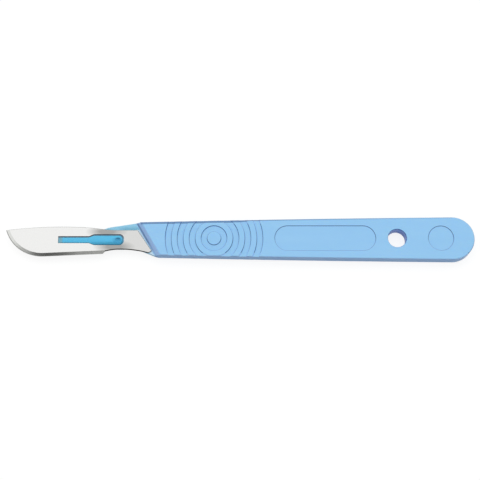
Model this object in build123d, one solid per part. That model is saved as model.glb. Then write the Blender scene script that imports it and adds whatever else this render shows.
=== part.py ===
from build123d import *
from math import cos, radians, sin, tan
import os

# A disposable scalpel, lying on the back face of its handle. All sizes are in millimetres and degrees.
# +X runs to the butt, +Y to the side of the blade's spine, +Z up out of the front face.
# X = 0 is the middle of the overall length, Y = 0 the handle's centreline, Z = 0 its back face.

# Whole tool
overall_length = 170.0
blade_reach = 50.9  # from the blade's tip to the foot of the shoulder, along the centreline

# Grip: a flat bar with bowed sides, widest where it meets the full-round butt
handle_thickness = 5.0
butt_width = 15.75
nose_width = 12.0
side_angle = 0.55  # lean of each side where it leaves the butt's round
rim_radius = 0.3

# Shoulder: the slanted step from the grip down to the neck, on both faces
shoulder_lean = 30.0  # away from square across
front_step = 1.8
neck_thickness = 2.0
shoulder_slope = 48.0
shoulder_root_radius = 0.4
crest_radius = 0.8
crest_angle = 6.0  # at which the rounded crest runs out into the face
nose_corner_radius = 2.0

# Neck: the thin plate that carries the blade, narrowing to a tongue under it
seat_offset = -0.47  # of the boss from the centreline
neck_crown_height = 4.4
neck_crown_from_shoulder = 13.6
neck_throat_from_shoulder = 3.2
neck_margin = 1.2  # of plate around the boss
tongue_overhang = 2.2  # of plate beyond the boss's front end
tongue_flat = 0.45  # left between the rounded corners of the tongue's end
neck_bend_radius = 5.0
neck_rim_radius = 0.3

# Boss: the keyhole-shaped block that fills the blade's slot
boss_length = 23.2
boss_front_length = 10.9  # of the narrow part
boss_front_width = 1.9
boss_rear_width = 3.4
boss_rear_from_shoulder = 8.5
boss_flare_angle = 22.0
boss_stand = 0.5  # above the blade's face
boss_crown_radius = 6.0  # of its top, curved across
boss_corner_radius = 1.3  # of its two rear corners
boss_rim_radius = 0.2
boss_ramp_length = 1.6
boss_ramp_drop = 0.35
stake_radius = 1.1
stake_depth = 0.3
stake_from_rear = 1.55

# Blade
blade_thickness = 0.4
slot_clearance = 0.35  # all round the boss, with the blade centred on it
slot_edge_gap = 0.08  # left on the edge side, where the blade is pushed up against the boss
slot_front_gap = 0.13  # left at the boss's front end, where the blade is pushed back
stamped_roll_radius = 0.12  # of the front face's outline, rolled over by the punch
tip_height = 3.35
spine_height = 4.62
spine_crest_from_tip = 17.0
spine_shoulder_height = 4.3
spine_shoulder_from_foot = 20.1
tang_height = 3.36
tang_from_foot = 12.4
spine_blend_radius = 18.0
edge_depth = 6.45  # below the centreline, where the belly starts
belly_length = 14.0
edge_rise = 0.95  # of the straight edge, from the belly to the notch
notch_from_foot = 15.5
notch_depth = 0.95
notch_lean = 0.8
relief_crest_depth = 3.83
relief_crest_from_foot = 9.1
heel_depth = 4.4  # where the rear end meets the snub corner
heel_snub_length = 1.5
heel_snub_angle = 32.0
blade_end_gap = 0.8
blade_end_lean = 34.0
hone_stock = 0.02  # ground off the stamped edge
bevel_width = 1.25
hone_width = 0.3
hone_angle = 15.0
grind_run_out = 1.8  # of the bevel, past the notch

# Ring grips: round grooves about one centre, cut right across both faces
grip_from_shoulder = 24.8
grip_pad_radius = 2.4
grip_pitch = 4.33
grip_groove_width = 2.4
grip_grooves = 4
grip_depth = 0.35
grip_wall_angle = 30.0

# Marks and hang hole on the grip
recess_depth = 0.2
recess_wall_angle = 45.0
panel_length = 36.8
panel_width = 9.5
panel_from_butt = 54.05
disc_radius = 4.7
disc_from_butt = 12.15
hole_radius = 3.35
hole_from_butt = 28.0
hole_rim_radius = 0.25

# Places worked out from the sizes above
tip_x = -overall_length / 2
butt_x = overall_length / 2
butt_radius = butt_width / 2
foot_x = tip_x + blade_reach
neck_front = handle_thickness - front_step
neck_back = neck_front - neck_thickness
boss_rear_x = foot_x - boss_rear_from_shoulder
boss_front_x = boss_rear_x - boss_length
boss_height = blade_thickness + boss_stand
hole_x = butt_x - hole_from_butt
cutter_margin = 1.0  # by which a cutting shape reaches past what it cuts


def across(lean, x, y):
    """The X of a line that crosses the centreline at x and leans back from square, at the height y."""
    return x - y * tan(radians(lean))


def grip_sides():
    """The two bowed sides, from the butt's round to the nose, upper side first."""
    lean = radians(side_angle)
    leave = Vector(butt_x - butt_radius - butt_radius * sin(lean), butt_radius * cos(lean))
    nose = Vector(across(shoulder_lean, foot_x, nose_width / 2), nose_width / 2)
    bow_x = (leave.X + nose.X) / 2
    bow = Vector(bow_x, leave.Y - (leave.X - bow_x) * tan(lean))
    upper = Bezier(leave, bow, nose)
    lower = upper.mirror(Plane.XZ)
    chin_x = across(shoulder_lean, foot_x, -nose_width / 2)
    return upper, lower.trim(0, (leave.X - chin_x) / (leave.X - nose.X))


def neck_line(nose, chin):
    """The neck's outline from the nose round the tongue and back to the chin."""
    tongue_half = boss_front_width / 2 + neck_margin
    throat_y = seat_offset - boss_rear_width / 2 - neck_margin
    tongue_x = boss_front_x - tongue_overhang
    flare_x = boss_front_x + boss_front_length
    points = [
        nose,
        (foot_x - neck_crown_from_shoulder, neck_crown_height),
        (flare_x, seat_offset + tongue_half),
        (tongue_x, seat_offset + tongue_half),
        (tongue_x, seat_offset - tongue_half),
        (flare_x, seat_offset - tongue_half),
        (flare_x + boss_rear_width, throat_y),
        (foot_x - neck_throat_from_shoulder, throat_y),
        chin,
    ]
    bend = neck_bend_radius
    corner = tongue_half - tongue_flat / 2
    return FilletPolyline(*points, radius=[bend, bend, corner, corner, bend, bend, bend])


def handle_plan():
    """The whole moulding seen from above."""
    upper, lower = grip_sides()
    butt = ThreePointArc(lower @ 0, (butt_x, 0), upper @ 0)
    neck = neck_line(upper @ 1, lower @ 1)
    plan = make_face(Curve() + [upper, neck, lower, butt])
    corners = [plan.vertices().sort_by_distance(end)[0] for end in (upper @ 1, lower @ 1)]
    return fillet(corners, nose_corner_radius)


def shoulder_cutter(neck_level, face_level):
    """What is cut away in front of the shoulder, from the neck's surface out past the grip's face."""
    lean = radians(shoulder_lean)
    ahead = (-cos(lean), -sin(lean), 0)
    along = (-sin(lean), cos(lean), 0)
    side = Plane(origin=(foot_x, 0, 0), x_dir=ahead, z_dir=along)
    outward = 1 if face_level > neck_level else -1
    run = abs(face_level - neck_level) / tan(radians(shoulder_slope))
    past_level = face_level + outward * cutter_margin
    past_run = run + cutter_margin / tan(radians(crest_angle))
    far = blade_reach + butt_width
    foot = (0, neck_level)
    crest = (-run, face_level)
    beyond = [(far, neck_level), (far, past_level), (-past_run, past_level)]
    section = make_face(Polyline(foot, *beyond, crest, close=True))
    section = fillet(section.vertices().sort_by_distance(foot)[0], shoulder_root_radius)
    section = fillet(section.vertices().sort_by_distance(crest)[0], crest_radius)
    return extrude(side * section, amount=blade_reach, both=True)


def keyhole():
    """The boss seen from above: narrow in front, flaring to a wide part with rounded rear corners."""
    front_half = boss_front_width / 2
    rear_half = boss_rear_width / 2
    flare_x = boss_front_x + boss_front_length
    wide_x = flare_x + (rear_half - front_half) / tan(radians(boss_flare_angle))
    narrow_side = [(boss_front_x, front_half), (flare_x, front_half)]
    side = narrow_side + [(wide_x, rear_half), (boss_rear_x, rear_half)]
    opposite = [(x, -y) for x, y in reversed(side)]
    plan = make_face(Polyline(*side, *opposite, close=True))
    return Pos(0, seat_offset) * fillet(plan.vertices().group_by(Axis.X)[-1], boss_corner_radius)


def boss():
    """The keyhole block on the neck, with a crowned top, a ramped front end and a round staking dimple."""
    top = neck_front + boss_height
    crown = Rot(0, 90, 0) * Cylinder(boss_crown_radius, 2 * (boss_length + cutter_margin))
    block = extrude(Pos(0, 0, neck_front) * keyhole(), amount=boss_height + cutter_margin)
    block &= Pos(boss_rear_x, seat_offset, top - boss_crown_radius) * crown
    block = fillet(block.faces().sort_by(Axis.Z)[-1].edges(), boss_rim_radius)
    ramp = make_face(
        Polyline(
            (boss_front_x, top - boss_ramp_drop),
            (boss_front_x + boss_ramp_length, top),
            (boss_front_x + boss_ramp_length, top + cutter_margin),
            (boss_front_x - cutter_margin, top + cutter_margin),
            (boss_front_x - cutter_margin, top - boss_ramp_drop),
            close=True,
        )
    )
    block -= extrude(Plane.XZ * ramp, amount=boss_rear_width, both=True)
    ball = (stake_radius**2 + stake_depth**2) / (2 * stake_depth)
    return block - Pos(boss_rear_x - stake_from_rear, seat_offset, top - stake_depth + ball) * Sphere(ball)


def groove_ring(inner):
    """One round grip groove, as a ring with sloping walls standing on the floor level 0."""
    outer = inner + grip_groove_width
    slope = tan(radians(grip_wall_angle))
    above = grip_depth + cutter_margin
    section = make_face(
        Polyline(
            (inner + grip_depth * slope, 0),
            (outer - grip_depth * slope, 0),
            (outer + cutter_margin * slope, above),
            (inner - cutter_margin * slope, above),
            close=True,
        )
    )
    return revolve(Plane.XZ * section, Axis.Z)


def grip_cutters():
    """The grooves for both faces."""
    rings = [groove_ring(grip_pad_radius + turn * grip_pitch) for turn in range(grip_grooves)]
    x = foot_x + grip_from_shoulder
    front = [Pos(x, 0, handle_thickness - grip_depth) * ring for ring in rings]
    back = [Pos(x, 0, grip_depth) * Rot(180, 0, 0) * ring for ring in rings]
    return front + back


def recess(outline):
    """A shallow recess with sloping walls, cut down from the front face."""
    return extrude(Pos(0, 0, handle_thickness) * outline, amount=-recess_depth, taper=recess_wall_angle)


def marks():
    """The long bare panel and the bare disc on the front face."""
    panel = Pos(butt_x - panel_from_butt, 0) * SlotOverall(panel_length, panel_width)
    disc = Pos(butt_x - disc_from_butt, 0) * Circle(disc_radius)
    return [recess(panel), recess(disc)]


def plate(plan, low, high, rim):
    """A flat plate with the given outline and rounded rims."""
    block = extrude(Pos(0, 0, low) * plan, amount=high - low)
    return fillet(block.faces().filter_by(Axis.Z).edges(), rim)


def make_handle():
    """The one-piece moulding."""
    plan = handle_plan()
    grip = plate(plan, 0, handle_thickness, rim_radius)
    grip = grip - shoulder_cutter(neck_front, handle_thickness) - shoulder_cutter(neck_back, 0)
    neck = plate(plan, neck_back, neck_front, neck_rim_radius)
    neck = split(neck, Plane(origin=(foot_x + butt_width, 0, 0), z_dir=(-1, 0, 0)))
    hole_middle = (hole_x, 0, handle_thickness / 2)
    body = grip + neck - Pos(hole_middle) * Cylinder(hole_radius, handle_thickness)
    body = fillet(body.edges().filter_by(GeomType.CIRCLE).sort_by_distance(hole_middle)[:2], hole_rim_radius)
    return body - grip_cutters() - marks() + boss()


def edge_line():
    """The cutting edge as stamped: the straight run from the notch, then the belly's arc up to the tip."""
    notch = Vector(foot_x - notch_from_foot, edge_rise - edge_depth)
    belly = Vector(tip_x + belly_length, -edge_depth)
    run = Line(notch, belly)
    return run, TangentArc(belly, (tip_x, tip_height), tangent=run % 1)


def blade_plan():
    """The stamped blank: spine, tang, slanted rear end, snub heel, relieved underside, notch and edge."""
    run, arc = edge_line()
    crest = (tip_x + spine_crest_from_tip, spine_height)
    spine_end = (foot_x - spine_shoulder_from_foot, spine_shoulder_height)
    tang_start = (foot_x - tang_from_foot, tang_height)
    end_x = foot_x - blade_end_gap
    tang_end = (across(blade_end_lean, end_x, tang_height), tang_height)
    heel_top = Vector(across(blade_end_lean, end_x, -heel_depth), -heel_depth)
    snub = radians(heel_snub_angle)
    heel = heel_top - Vector(heel_snub_length * cos(snub), heel_snub_length * sin(snub))
    crest_x = foot_x - relief_crest_from_foot
    relief_crest = (crest_x, -relief_crest_depth)
    notch_top = run @ 0 + Vector(notch_lean, notch_depth)
    rear = Polyline(spine_end, tang_start, tang_end, heel_top, heel)
    spine = ThreePointArc(arc @ 1, crest, spine_end)
    relief = [TangentArc(relief_crest, end, tangent=(end.X - crest_x, 0)) for end in (heel, notch_top)]
    plan = make_face(Curve() + [spine, rear, *relief, Line(notch_top, run @ 0), run, arc])
    bends = [plan.vertices().sort_by_distance(point)[0] for point in (spine_end, tang_start)]
    return fillet(bends, spine_blend_radius)


def grinding_cutter():
    """What grinding takes off both faces: the wide bevel and the honed strip along the very edge."""
    run, arc = edge_line()
    half = blade_thickness / 2
    hone_height = hone_width * tan(radians(hone_angle))
    slope = (half - hone_height) / (bevel_width - hone_width)
    past_bevel = hone_stock + bevel_width + cutter_margin
    past_face = half + cutter_margin * slope
    section = make_face(
        Polyline(
            (hone_stock, 0),
            (hone_stock + hone_width, hone_height),
            (past_bevel, past_face),
            (-cutter_margin, past_face),
            (-cutter_margin, -past_face),
            (past_bevel, -past_face),
            (hone_stock + hone_width, -hone_height),
            close=True,
        )
    )
    past_tip = Line(arc @ 1, arc @ 1 + (arc % 1) * (bevel_width + cutter_margin))
    run_out = Line(run @ 0 - (run % 0) * grind_run_out, run @ 0)
    start = Plane(origin=run_out @ 0, x_dir=(run % 0).rotate(Axis.Z, -90), z_dir=run % 0)
    return sweep(start * section, path=Curve() + [run_out, run, arc, past_tip])


def make_blade():
    """The slotted blade, seated on the neck's front face."""
    blank = extrude(Pos(0, 0, -blade_thickness / 2) * blade_plan(), amount=blade_thickness)
    blank = fillet(blank.faces().sort_by(Axis.Z)[-1].edges(), stamped_roll_radius)
    slot = offset(keyhole(), slot_clearance, kind=Kind.INTERSECTION)
    slot = Pos(slot_clearance - slot_front_gap, slot_clearance - slot_edge_gap) * slot
    blank = blank - extrude(slot, amount=blade_thickness, both=True) - grinding_cutter()
    return Pos(0, 0, neck_front + blade_thickness / 2) * blank


os.makedirs("parts", exist_ok=True)
handle = make_handle()
blade = make_blade()
export_step(handle, "parts/handle.step")
export_step(blade, "parts/blade.step")
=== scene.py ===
from math import cos, pi, radians, sin, tan
import bpy
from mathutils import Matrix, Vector


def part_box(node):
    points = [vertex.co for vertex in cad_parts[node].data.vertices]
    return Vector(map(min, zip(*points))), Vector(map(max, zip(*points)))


# A disposable scalpel, lying on the back face of its handle.
# +X runs to the butt, +Y to the side of the blade's spine, +Z up. Everything is in metres.
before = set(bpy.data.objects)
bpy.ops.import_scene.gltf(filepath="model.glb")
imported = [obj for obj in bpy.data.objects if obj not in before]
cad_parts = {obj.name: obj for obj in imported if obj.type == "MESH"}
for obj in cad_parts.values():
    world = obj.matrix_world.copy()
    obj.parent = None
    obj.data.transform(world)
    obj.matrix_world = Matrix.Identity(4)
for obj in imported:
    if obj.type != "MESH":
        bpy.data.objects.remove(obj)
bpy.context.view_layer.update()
scene = bpy.context.scene

# Handle
# One injection moulding in pale blue polystyrene. The grip is satin, as the spark-eroded mould leaves it.
# The thin neck and the boss that holds the blade let more light through, and look more cyan.
mm = 0.001
butt_x, half_width, face_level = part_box("handle")[1]
blade_low, blade_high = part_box("blade")

# The shoulder leans back from square. Its foot crosses the centreline just ahead of the blade's rear end.
shoulder_lean = radians(30)
shoulder_foot = blade_high.x - 2.2 * mm
foot = shoulder_foot * cos(shoulder_lean)  # the same place, measured square to the foot's line
boss_rear = shoulder_foot - 8.5 * mm
boss_middle_y = -0.47 * mm


def linear(hex_colour):
    """An sRGB hex colour as the linear colour that the shaders take."""
    shares = [int(hex_colour[at : at + 2], 16) / 255 for at in (1, 3, 5)]
    return tuple(s / 12.92 if s <= 0.04045 else ((s + 0.055) / 1.055) ** 2.4 for s in shares) + (1.0,)


def add(tree, kind, sockets=None, **settings):
    """Adds one node. A socket takes a value, a hex colour, an output, or a node, for its first live output.
    A colour Mix has its share at socket 0, and its two colours at sockets 6 and 7."""
    node = tree.nodes.new("ShaderNode" + kind)
    for name, value in settings.items():
        setattr(node, name, value)
    for name, value in (sockets or {}).items():
        if isinstance(value, bpy.types.Node):
            value = next(output for output in value.outputs if output.enabled)
        if isinstance(value, bpy.types.NodeSocket):
            tree.links.new(value, node.inputs[name])
        else:
            node.inputs[name].default_value = linear(value) if isinstance(value, str) else value
    return node


def empty_material(name):
    """A material with an empty node tree, and that tree."""
    material = bpy.data.materials.new(name)
    material.use_nodes = True
    material.node_tree.nodes.clear()
    return material, material.node_tree


def how_far(tree, place, middle, weights=(1, 1, 0)):
    """How far a place is from the middle, seen from above, with each direction weighted."""
    apart = add(tree, "VectorMath", {0: place, 1: middle}, operation="SUBTRACT")
    weighted = add(tree, "VectorMath", {0: apart, 1: weights}, operation="MULTIPLY")
    return add(tree, "VectorMath", {0: weighted}, operation="LENGTH")


def shaded(tree, colour, tint, limits, **settings):
    """The colour with a tint over it, where all the limits of that tint let it show."""
    share = limits[0]
    for limit in limits[1:]:
        share = add(tree, "Math", {0: share, 1: limit}, operation="MULTIPLY")
    return add(tree, "Mix", {0: share, 6: colour, 7: tint}, data_type="RGBA", **settings)


# The grip is pale blue. Where it slopes it is painted more violet, and its walls are painted deeper blue,
# as painted shade where the surface turns from the light. Both start and are whole by how much the surface
# faces up or down.
grip_blue = "#8FC8F4"
grip_blue_pale = "#98CFF8"
grip_slope_painted_shade = "#A0C4F2"
grip_wall_painted_shade = "#6CA7E1"
sloping = {"From Min": 0.98, "From Max": 0.7}
upright = {"From Min": 0.5, "From Max": 0.1}


def grip_colour(tree, streaks, facing):
    """The two blues of the streaks, then the painted shade of the slopes and the walls."""
    grip = add(tree, "Mix", {0: streaks, 6: grip_blue, 7: grip_blue_pale}, data_type="RGBA")
    on_slope = add(tree, "MapRange", {"Value": facing, **sloping})
    grip = add(tree, "Mix", {0: on_slope, 6: grip, 7: grip_slope_painted_shade}, data_type="RGBA")
    on_wall = add(tree, "MapRange", {"Value": facing, **upright})
    return add(tree, "Mix", {0: on_wall, 6: grip, 7: grip_wall_painted_shade}, data_type="RGBA")


# The boss is deeper in colour than the neck. Where the crown of its wide rear part faces the edge side, it
# is painted teal as shade. Its top slopes down to its front end, which is painted greyer there as shade.
boss_cyan = "#54C3EE"
boss_cyan_deep = "#40B7E4"
boss_painted_shade_teal = "#2289AF"
boss_ramp_painted_shade = "#72ACC0"
boss_wide = boss_rear - 11.0 * mm  # just ahead of where its rear part has its full width
boss_wide_fade = 2.0 * mm
crown_to_edge_side = {"From Min": -0.05, "From Max": -0.28}  # by how much the surface faces the spine side
boss_ramp = boss_rear - 21.7 * mm
boss_ramp_fade = 0.8 * mm


def boss_colour(tree, streaks, along, spine_facing):
    """The two cyans of the streaks, then painted shade on the crown's turned side and on the front ramp."""
    boss = add(tree, "Mix", {0: streaks, 6: boss_cyan, 7: boss_cyan_deep}, data_type="RGBA")
    widening = {"From Min": boss_wide - boss_wide_fade, "From Max": boss_wide}
    turned_away = (
        add(tree, "MapRange", {"Value": spine_facing, **crown_to_edge_side}),
        add(tree, "MapRange", {"Value": along, **widening}),
    )
    boss = shaded(tree, boss, boss_painted_shade_teal, turned_away)
    ramp = {"From Min": boss_ramp + boss_ramp_fade / 2, "From Max": boss_ramp - boss_ramp_fade / 2}
    on_ramp = add(tree, "MapRange", {"Value": along, **ramp})
    return add(tree, "Mix", {0: on_ramp, 6: boss, 7: boss_ramp_painted_shade}, data_type="RGBA")


# The neck is a thin plate. Its upper face is painted paler as light in the gap between the blade and the
# shoulder, and painted deeper as the tang's shadow in a band beside the tang, on the spine side of it.
neck_pale_cyan = "#8FCDEC"
neck_gap_painted_light = "#C6E0F2"
neck_tang_painted_shadow = "#72B8D6"
neck_rim = 0.3 * mm  # of its rounded rim, which counts as part of that face
gap_front = foot - 1.7 * mm
gap_fade = 0.6 * mm
gap_side = 3.6 * mm  # where the gap ends and the band starts
band_side = 5.1 * mm
band_side_fade = 1.1 * mm
band_front = boss_rear - 2 * mm
band_front_fade = 3 * mm


def plate_colour(tree, along, side, height, back):
    """The plate's cyan, then the painted light of the gap and the painted shadow in the band."""
    on_top = add(tree, "Math", {0: height, 1: blade_low.z - neck_rim}, operation="GREATER_THAN")
    in_gap = (
        on_top,
        add(tree, "MapRange", {"Value": back, "From Min": gap_front, "From Max": gap_front + gap_fade}),
        add(tree, "Math", {0: side, 1: gap_side}, operation="LESS_THAN"),
    )
    beside_tang = {"From Min": band_side, "From Max": band_side - band_side_fade}
    behind_front = {"From Min": band_front, "From Max": band_front + band_front_fade}
    in_band = (
        on_top,
        add(tree, "Math", {0: side, 1: gap_side}, operation="GREATER_THAN"),
        add(tree, "MapRange", {"Value": side, **beside_tang}),
        add(tree, "MapRange", {"Value": along, **behind_front}),
    )
    plate = shaded(tree, neck_pale_cyan, neck_gap_painted_light, in_gap)
    return shaded(tree, plate, neck_tang_painted_shadow, in_band)


# The boss stands in the blade's slot. The neck that shows there gets a painted shade, on the spine side
# only.
boss_foot = 0.2 * mm  # of its height, over which it takes on its own colour
slot_painted_shade = "#5A7C96"
slot_floor = 0.1 * mm  # over and under the blade's lower face, where the dark is whole
slot_rear = boss_rear + 0.6 * mm
slot_bright = 0.4 * mm  # from the boss's middle line to where the dark starts
slot_dark = 1.3 * mm  # from there to where it is whole
slot_half_width = 2.3 * mm  # and to where it ends


def neck_colour(tree, streaks, spot, back, spine_facing):
    """The plate and the boss on it, then the painted shade in the slot."""
    along, side, height = spot.outputs
    plate = plate_colour(tree, along, side, height, back)
    boss = boss_colour(tree, streaks, along, spine_facing)
    rising = {"From Min": blade_low.z, "From Max": blade_low.z + boss_foot}
    raised = add(tree, "MapRange", {"Value": height, **rising})
    neck = add(tree, "Mix", {0: raised, 6: plate, 7: boss}, data_type="RGBA")

    off_boss = add(tree, "Math", {0: side, 1: boss_middle_y}, operation="SUBTRACT")
    depth = {"From Min": blade_high.z, "From Max": blade_low.z + slot_floor}
    in_slot = (
        add(tree, "MapRange", {"Value": height, **depth}),
        add(tree, "Math", {0: height, 1: blade_low.z - slot_floor}, operation="GREATER_THAN"),
        add(tree, "Math", {0: along, 1: slot_rear}, operation="LESS_THAN"),
        add(tree, "MapRange", {"Value": off_boss, "From Min": slot_bright, "From Max": slot_dark}),
        add(tree, "Math", {0: off_boss, 1: slot_half_width}, operation="LESS_THAN"),
    )
    return shaded(tree, neck, slot_painted_shade, in_slot)


# A painted dark line of shade runs along the shoulder's foot, and fades towards the edge side.
foot_painted_shade = "#BEC3CE"
foot_line = 0.4 * mm
foot_fading = {"From Min": -1.0 * mm, "From Max": -3.0 * mm, "To Min": 1.0, "To Max": 0.3}


def foot_shade(tree, side, back):
    """The tint of that line, and the limits on where it shows."""
    off_line = add(tree, "Math", {0: back, 1: foot + foot_line / 2}, operation="SUBTRACT")
    off_line = add(tree, "Math", {0: off_line}, operation="ABSOLUTE")
    on_line = add(tree, "MapRange", {"Value": off_line, "From Min": foot_line, "From Max": foot_line / 2})
    return foot_painted_shade, (on_line, add(tree, "MapRange", {"Value": side, **foot_fading}))


# The ring grips' and the two recesses' sharp lips get a painted shade, darkest where they face the edge
# side.
lip_painted_shade = "#8294AE"
face_depth = 0.45 * mm  # below the grip's face, a little more than the depth of the ring grips
lip_half_width = 5.5 * mm  # further out, the rings run into the rims
shoulder_run = 3.0 * mm  # from the shoulder's foot to the flat of the face
rounded = {"From Min": 0.97, "From Max": 0.8}  # by how much the surface faces up or down
to_edge_side = {"From Min": 0.3, "From Max": -0.1, "To Min": 0.4, "To Max": 1.0}  # and to the spine side


def lip_shade(tree, near_face, side, back, facing, spine_facing):
    """The painted shade of the lips, and the limits on where it shows."""
    off_middle = add(tree, "Math", {0: side}, operation="ABSOLUTE")
    limits = (
        near_face,
        add(tree, "MapRange", {"Value": facing, **rounded}),
        add(tree, "Math", {0: off_middle, 1: lip_half_width}, operation="LESS_THAN"),
        add(tree, "Math", {0: back, 1: foot + shoulder_run}, operation="GREATER_THAN"),
        add(tree, "MapRange", {"Value": spine_facing, **to_edge_side}),
    )
    return lip_painted_shade, limits


# A painted dark line of shade runs along the grip's rim on the spine side. The rim rises from the nose to
# the butt's round, and bows outwards on the way.
rim_painted_shade = "#ABB1C0"
nose_half_width = 6.0 * mm
nose_x = shoulder_foot - nose_half_width * tan(shoulder_lean)
round_lead = 0.1 * mm  # of the butt's round, which starts this much ahead of its middle
butt_round_x = butt_x - half_width - round_lead
side_rise = 2.65 * mm  # over its length, had it kept the lean it has at the nose
side_bow = nose_half_width + side_rise - half_width  # by which it falls short of that at the butt
rim_line = 0.85 * mm  # wide from the nose on, and half as much on the rear part of the grip
wide_end_x = nose_x + 37 * mm
narrow_x = wide_end_x + 4 * mm  # where it has narrowed, and from where it fades
rim_faint_x = butt_round_x - 8 * mm
rim_faint = 0.3


def rim_shade(tree, near_face, along, side, back):
    """The tint of that line, and the limits on where it shows."""
    run = add(tree, "MapRange", {"Value": along, "From Min": nose_x, "From Max": butt_round_x})
    rise = add(tree, "Math", {0: run, 1: -side_bow, 2: side_rise}, operation="MULTIPLY_ADD")
    outline = add(tree, "Math", {0: run, 1: rise, 2: nose_half_width}, operation="MULTIPLY_ADD")
    inside = add(tree, "Math", {0: outline, 1: side}, operation="SUBTRACT")
    narrowing = {"From Min": wide_end_x, "From Max": narrow_x, "To Min": rim_line, "To Max": rim_line / 2}
    width = add(tree, "MapRange", {"Value": along, **narrowing})
    fading = {"From Min": narrow_x, "From Max": rim_faint_x, "To Min": 1.0, "To Max": rim_faint}
    limits = (
        near_face,
        add(tree, "Math", {0: inside, 1: width}, operation="LESS_THAN"),
        add(tree, "Math", {0: back, 1: foot}, operation="GREATER_THAN"),
        add(tree, "Math", {0: along, 1: butt_round_x}, operation="LESS_THAN"),
        add(tree, "MapRange", {"Value": along, **fading}),
    )
    return rim_painted_shade, limits


# The wall of the hang hole is painted deeper in colour, as shade in the bore.
bore_painted_shade = "#88D6FF"
hole_from_butt = 28 * mm
hole_radius = 3.35 * mm
bore_fade = 0.2 * mm


def bore_shade(tree, place):
    """The tint of that wall, and the limit on where it shows."""
    off_hole = how_far(tree, place, (butt_x - hole_from_butt, 0, 0))
    opening = {"From Min": hole_radius + bore_fade, "From Max": hole_radius}
    return bore_painted_shade, (add(tree, "MapRange", {"Value": off_hole, **opening}),)


# The dimple that the staking punch left in the boss is painted deeper in colour too, as shade in the hollow.
stake_painted_shade = "#A2D2DE"
stake_middle = (boss_rear - 1.55 * mm, boss_middle_y, 0)
stake_outer = 1.43 * mm
stake_inner = 0.44 * mm
stake_stretch = (0.6, 1, 0)  # its shade is longer than wide


def stake_shade(tree, place):
    """The tint of the dimple, and the limit on where it shows."""
    off_stake = how_far(tree, place, stake_middle, stake_stretch)
    dimple = {"From Min": stake_outer, "From Max": stake_inner}
    return stake_painted_shade, (add(tree, "MapRange", {"Value": off_stake, **dimple}),)


# The melt ran along the bar, and left streaks in it. The eroded mould leaves a grain of about 0.05 mm, which
# is drawn at 0.25 mm so that it shows.
streak_length = 30 * mm
streak_width = 4 * mm
grain_size = 0.25 * mm
grain_depth = 0.02 * mm
grain_strength = 0.15
satin = {"From Min": 0.3, "From Max": 0.7, "To Min": 0.34, "To Max": 0.44}
neck_fade = 0.5 * mm  # in front of the shoulder's foot, over which the grip's blue gives way


def moulded_polystyrene():
    """Satin moulded polystyrene: soft broad gloss, a faint orange peel, and slow flow streaks along it."""
    material, tree = empty_material("moulded_pale_blue_polystyrene")
    coordinates = add(tree, "TexCoord")
    place = coordinates.outputs["Object"]
    spot = add(tree, "SeparateXYZ", {0: place})
    along, side, height = spot.outputs
    normal = add(tree, "SeparateXYZ", {0: coordinates.outputs["Normal"]})
    spine_facing = normal.outputs["Y"]
    facing = add(tree, "Math", {0: normal.outputs["Z"]}, operation="ABSOLUTE")
    square_to_foot = (cos(shoulder_lean), sin(shoulder_lean), 0)
    back = add(tree, "VectorMath", {0: place, 1: square_to_foot}, operation="DOT_PRODUCT")

    stretch = (1 / streak_length, 1 / streak_width, 1 / streak_width)
    stretched = add(tree, "Mapping", {"Vector": place, "Scale": stretch})
    streaks = add(tree, "TexNoise", {"Vector": stretched, "Scale": 1.0, "Detail": 2.0})
    grip = grip_colour(tree, streaks, facing)
    neck = neck_colour(tree, streaks, spot, back, spine_facing)
    on_neck = add(tree, "MapRange", {"Value": back, "From Min": foot, "From Max": foot - neck_fade})
    colour = add(tree, "Mix", {0: on_neck, 6: grip, 7: neck}, data_type="RGBA")

    near_face = add(tree, "Math", {0: height, 1: face_level - face_depth}, operation="GREATER_THAN")
    for tint, limits in (
        foot_shade(tree, side, back),
        lip_shade(tree, near_face, side, back, facing, spine_facing),
        rim_shade(tree, near_face, along, side, back),
        bore_shade(tree, place),
        stake_shade(tree, place),
    ):
        colour = shaded(tree, colour, tint, limits, blend_type="MULTIPLY")

    grain = add(tree, "TexNoise", {"Vector": place, "Scale": 1 / grain_size, "Detail": 1.0})
    relief = add(tree, "Bump", {"Height": grain, "Strength": grain_strength, "Distance": grain_depth})
    surface = add(
        tree,
        "BsdfPrincipled",
        {
            "Base Color": colour,
            "Roughness": add(tree, "MapRange", {"Value": grain, **satin}),
            "IOR": 1.59,
            "Specular IOR Level": 0.35,
            "Normal": relief,
            "Subsurface Weight": 0.2,
            "Subsurface Radius": (1.0, 1.6, 2.4),
            "Subsurface Scale": 1.0 * mm,
        },
    )
    add(tree, "OutputMaterial", {"Surface": surface})
    return material


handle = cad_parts["handle"]
handle.material_slots[0].material = moulded_polystyrene()

# Blade
# Thin stainless strip, stamped to its outline and slot, tumbled, then ground to a wide bevel along the
# curved edge. Its slot snaps over the boss, which is staked so that the blade stays on.
steel_face = "#A9A9A8"
steel_tang = "#9A9A99"
tang_start = blade_high.x - 14 * mm
tang_fade = 4 * mm

# The steel is greyer in two patches, on both sides of the boss.
steel_smoke = "#757574"
smoke_places = (
    (boss_rear - 5.7 * mm, boss_middle_y + 3.27 * mm, 0),
    (boss_rear - 2.9 * mm, boss_middle_y - 2.43 * mm, 0),
)
smoke_reach = (6.5 * mm, 2.2 * mm)
smoky = {"From Min": 1.2, "From Max": 0.4}  # in shares of that reach


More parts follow.
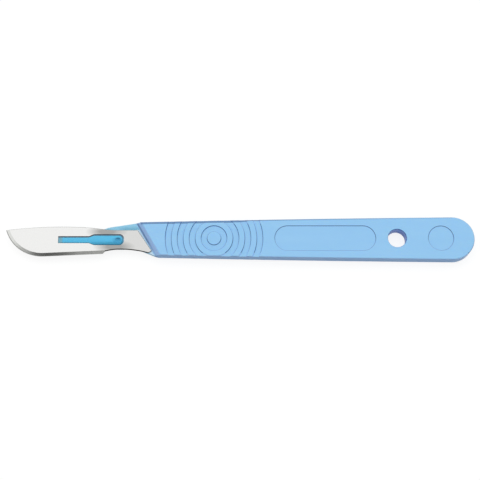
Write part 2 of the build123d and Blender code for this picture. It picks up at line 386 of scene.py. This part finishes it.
def flat_colour(tree, place, along):
    """The flats of the blade, a little duller on the tang, then the grey."""
    tang = {"From Min": tang_start, "From Max": tang_start + tang_fade}
    on_tang = add(tree, "MapRange", {"Value": along, **tang})
    flats = add(tree, "Mix", {0: on_tang, 6: steel_face, 7: steel_tang}, data_type="RGBA")
    shares_of_reach = (1 / smoke_reach[0], 1 / smoke_reach[1], 0)
    for middle in smoke_places:
        off_smoke = how_far(tree, place, middle, shares_of_reach)
        in_smoke = add(tree, "MapRange", {"Value": off_smoke, **smoky})
        flats = add(tree, "Mix", {0: in_smoke, 6: flats, 7: steel_smoke}, data_type="RGBA")
    return flats


# The bevel is painted dark as a reflection of the dark surroundings, darkest where the belly meets the
# straight edge. Further off, that painted reflection is brighter.
bevel_painted_dark_reflection = "#666764"
bevel_painted_bright_reflection = "#989996"
belly_x = blade_high.x - 35.6 * mm
brightening = {"From Min": 2 * mm, "From Max": 9 * mm}  # by how far off it is, on both sides


def bevel_colour(tree, along):
    """The ground bevel's painted reflection, by how far it is from where the belly meets the straight edge.
    """
    from_belly = add(tree, "Math", {0: along, 1: belly_x}, operation="SUBTRACT")
    from_belly = add(tree, "Math", {0: from_belly}, operation="ABSOLUTE")
    brighter = add(tree, "MapRange", {"Value": from_belly, **brightening})
    return add(tree, "Mix", {0: brighter, 6: bevel_painted_dark_reflection, 7: bevel_painted_bright_reflection}, data_type="RGBA")


# Sheared walls are torn and dull, and painted dark as shade. The relief behind the bevel is never ground;
# a fringe of the face along its edge is painted dark as shade too. The relief is two arcs, one on each
# side of its crest.
steel_torn_and_painted_shade = "#2A2A29"
torn_off = {"From Min": 0.95, "From Max": 0.8}  # by how much the surface faces up or down
notch_x = blade_high.x - 16.9 * mm  # where the ground edge ends and the relief starts
relief_crest = (shoulder_foot - 9.1 * mm, -3.83 * mm)
relief_radii = (22.1 * mm, 37.3 * mm)  # in front of the crest and behind it
relief_fringe = 0.3 * mm


def torn_and_shaded_edges(tree, place, along, facing):
    """How much is torn or in painted shade: the walls, and a painted fringe along each arc of the relief."""
    torn_or_shaded = add(tree, "MapRange", {"Value": facing, **torn_off})
    past_notch = add(tree, "Math", {0: along, 1: notch_x}, operation="GREATER_THAN")
    for radius, way in zip(relief_radii, ("LESS_THAN", "GREATER_THAN")):
        from_centre = how_far(tree, place, (relief_crest[0], relief_crest[1] - radius, 0))
        fringe = add(tree, "Math", {0: from_centre, 1: radius + relief_fringe}, operation="LESS_THAN")
        of_crest = add(tree, "Math", {0: along, 1: relief_crest[0]}, operation=way)
        for limit in (of_crest, past_notch):
            fringe = add(tree, "Math", {0: fringe, 1: limit}, operation="MULTIPLY")
        torn_or_shaded = add(tree, "Math", {0: torn_or_shaded, 1: fringe}, operation="MAXIMUM")
    return torn_or_shaded


# Polishing leaves lines about 0.02 mm apart, drawn at 0.12 mm so that they show.
line_length = 4 * mm
line_width = 0.12 * mm
line_depth = 0.01 * mm
line_strength = 0.1
gloss = {"From Min": 0.3, "From Max": 0.7, "To Min": 0.12, "To Max": 0.18}
polished = {"From Min": 0.990, "From Max": 0.998}  # from bevel to flats, by how much each faces up or down
plain_glance = "#FFFFFF"  # the tint of what the steel mirrors at low angles
# On the walls and the painted fringe the steel mirrors less at low angles, which deepens the painted shade.
glance_torn_and_shaded = "#404040"


def ground_stainless():
    """Stainless strip: fine polishing lines along it, a ground bevel painted dark as reflection, and torn
    walls painted dark as shade.
    """
    material, tree = empty_material("ground_stainless_strip")
    coordinates = add(tree, "TexCoord")
    place = coordinates.outputs["Object"]
    along = add(tree, "SeparateXYZ", {0: place}).outputs["X"]
    normal = add(tree, "SeparateXYZ", {0: coordinates.outputs["Normal"]})
    facing = add(tree, "Math", {0: normal.outputs["Z"]}, operation="ABSOLUTE")

    bevel = bevel_colour(tree, along)
    flats = flat_colour(tree, place, along)
    on_flats = add(tree, "MapRange", {"Value": facing, **polished})
    strip = add(tree, "Mix", {0: on_flats, 6: bevel, 7: flats}, data_type="RGBA")
    torn_or_shaded = torn_and_shaded_edges(tree, place, along, facing)
    colour = add(tree, "Mix", {0: torn_or_shaded, 6: strip, 7: steel_torn_and_painted_shade}, data_type="RGBA")
    glance = add(tree, "Mix", {0: torn_or_shaded, 6: plain_glance, 7: glance_torn_and_shaded}, data_type="RGBA")

    stretch = (1 / line_length, 1 / line_width, 1 / line_width)
    stretched = add(tree, "Mapping", {"Vector": place, "Scale": stretch})
    lines = add(tree, "TexNoise", {"Vector": stretched, "Scale": 1.0, "Detail": 2.0})
    relief = add(tree, "Bump", {"Height": lines, "Strength": line_strength, "Distance": line_depth})
    surface = add(
        tree,
        "BsdfPrincipled",
        {
            "Base Color": colour,
            "Metallic": 1.0,
            "Specular Tint": glance,
            "Roughness": add(tree, "MapRange", {"Value": lines, **gloss}),
            "Normal": relief,
        },
    )
    add(tree, "OutputMaterial", {"Surface": surface})
    return material


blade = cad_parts["blade"]
blade.material_slots[0].material = ground_stainless()

# Table and surroundings
# A plain white board under the scalpel, with white all round. The camera and the gloss see both as white.
# The rest of the light takes them for grey, so that they don't wash out the colours.
plain_white = "#FFFFFF"
table_grey = "#A0A0A0"
table_seen_grey = "#7A7A7A"
table_glow = 0.85
table_half = 3.0
fill_level = 0.62


def seen(tree):
    """1 on the rays of the camera and on those off gloss, and 0 on all others."""
    path = add(tree, "LightPath")
    rays = {0: path.outputs["Is Camera Ray"], 1: path.outputs["Is Glossy Ray"]}
    return add(tree, "Math", rays, operation="MAXIMUM")


def white_table():
    """Plain white board. Where it is seen it glows, and the little paint left there keeps a faint shadow."""
    material, tree = empty_material("white_table")
    paint = add(tree, "BsdfDiffuse", {"Color": table_grey})
    seen_paint = add(tree, "BsdfDiffuse", {"Color": table_seen_grey})
    glow = add(tree, "Emission", {"Color": plain_white, "Strength": table_glow})
    white = add(tree, "AddShader", {0: seen_paint, 1: glow})
    either = add(tree, "MixShader", {0: seen(tree), 1: paint, 2: white})
    add(tree, "OutputMaterial", {"Surface": either})
    return material


def white_surroundings():
    """White where they are seen, and a weaker fill light for everything else."""
    world = bpy.data.worlds.new("studio")
    world.use_nodes = True
    tree = world.node_tree
    tree.nodes.clear()
    level = add(tree, "MapRange", {"Value": seen(tree), "To Min": fill_level, "To Max": 1.0})
    sky = add(tree, "Background", {"Color": plain_white, "Strength": level})
    add(tree, "OutputWorld", {"Surface": sky})
    return world


def board(name, left, right, near, far, height, material):
    """A flat board that faces up."""
    corners = [(left, near, height), (right, near, height), (right, far, height), (left, far, height)]
    mesh = bpy.data.meshes.new(name)
    mesh.from_pydata(corners, [], [(0, 1, 2, 3)])
    mesh.materials.append(material)
    holder = bpy.data.objects.new(name, mesh)
    scene.collection.objects.link(holder)
    return holder


board("table", -table_half, table_half, -table_half, table_half, 0, white_table())
scene.world = white_surroundings()

# Dark card
# A matt black card high up beyond the blade's tip, towards the camera's side. The ground edge mirrors it and
# so reads dark. Neither the camera nor diffuse light sees the card.
card_black = "#272727"
card_left, card_right, card_near, card_far, card_height = -0.31, -0.18, -0.22, 0.02, 0.9


def black_card():
    """Matt black card, without gloss."""
    material, tree = empty_material("matt_black_card")
    add(tree, "OutputMaterial", {"Surface": add(tree, "BsdfDiffuse", {"Color": card_black})})
    return material


card = board("dark_card", card_left, card_right, card_near, card_far, card_height, black_card())
card.visible_camera = False
card.visible_diffuse = False

# Softbox
# One wide soft light that reaches from overhead to behind the spine side. It is aimed at the middle of the
# scalpel, and its power follows from its size, so that a change of size keeps its brightness.
light_place = Vector((0, 0.42, 0.95))
light_size = (1.7, 0.75)
light_level = 1.2  # the brightness that a mirror shows of it

lamp = bpy.data.lights.new("overhead_softbox", "AREA")
lamp.shape = "RECTANGLE"
lamp.size, lamp.size_y = light_size
lamp.energy = light_level * pi * lamp.size * lamp.size_y
softbox = bpy.data.objects.new("overhead_softbox", lamp)
softbox.location = light_place
softbox.rotation_euler = (-light_place).to_track_quat("-Z", "Y").to_euler()
scene.collection.objects.link(softbox)

# Camera
# It looks down from the edge side, 15 degrees off the vertical, and is aimed at the middle of the bar, at
# half its thickness. Its lens and sensor are in millimetres, as Blender takes them.
camera_lens = 85.0
camera_sensor = 36.0
camera_distance = 412.4 * mm
camera_elevation = radians(74.8)
camera_near = 10 * mm
aim = Vector((0.09 * mm, -0.04 * mm, face_level / 2))

camera = bpy.data.cameras.new("camera")
camera.lens = camera_lens
camera.sensor_width = camera_sensor
camera.clip_start = camera_near
view = bpy.data.objects.new("camera", camera)
view.location = aim + camera_distance * Vector((0, -cos(camera_elevation), sin(camera_elevation)))
view.rotation_euler = (pi / 2 - camera_elevation, 0, 0)
scene.collection.objects.link(view)
scene.camera = view
scene.view_settings.view_transform = "Standard"
